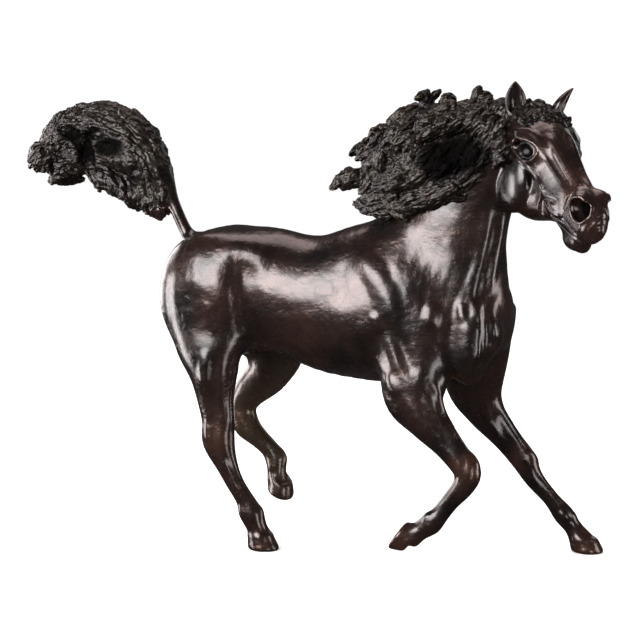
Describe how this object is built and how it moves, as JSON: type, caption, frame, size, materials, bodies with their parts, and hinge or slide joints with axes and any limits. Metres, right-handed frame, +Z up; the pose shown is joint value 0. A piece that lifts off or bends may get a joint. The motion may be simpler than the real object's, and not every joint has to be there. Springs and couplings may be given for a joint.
{
  "type": "bronze horse statue",
  "caption": "Free-standing cast bronze horse in motion, hollow body in pinned sections, turned head, blown mane, high curled tail, standing on a hind and a fore hoof.",
  "frame": {"origin": "middle of the bounding box's bottom face, so both standing hooves rest on Z = 0", "axes": "+X from the tail towards the head, +Y towards the horse's left side, +Z up"},
  "size_m": [0.632, 0.2118, 0.4679],
  "materials": {
    "smooth_bronze": "waxed dark brown-black patina, polished, worn to red-brown on the ridges",
    "hair_bronze": "rough chased hair under a dark brown patina, worn to olive gold on the ridges",
    "raw_bronze": "bare cast bronze, not patinated",
    "dowel_steel": "plain stainless steel bar"
  },
  "bodies": {
    "root": {"torso_casting": "smooth_bronze", "neck_casting": "smooth_bronze", "head_casting": "smooth_bronze", "ear_right": "smooth_bronze", "ear_left": "smooth_bronze", "forelock_casting": "hair_bronze", "mane_lower_casting": "hair_bronze", "mane_middle_casting": "hair_bronze", "mane_upper_casting": "hair_bronze", "mane_crown_casting": "hair_bronze", "tail_dock_casting": "hair_bronze", "tail_plume_casting": "hair_bronze", "tail_lobe_casting": "hair_bronze", "leg_right_hind_casting": "smooth_bronze", "leg_left_hind_casting": "smooth_bronze", "leg_right_fore_casting": "smooth_bronze", "leg_left_fore_casting": "smooth_bronze", "dowel_right_hind": "dowel_steel", "dowel_left_hind": "dowel_steel", "dowel_right_fore": "dowel_steel", "dowel_left_fore": "dowel_steel", "dowel_tail": "dowel_steel", "dowel_plume": "dowel_steel", "neck_sleeve": "raw_bronze", "head_sleeve": "raw_bronze", "core_plug_front": "raw_bronze", "core_plug_rear": "raw_bronze"}
  },
  "joints": []
}
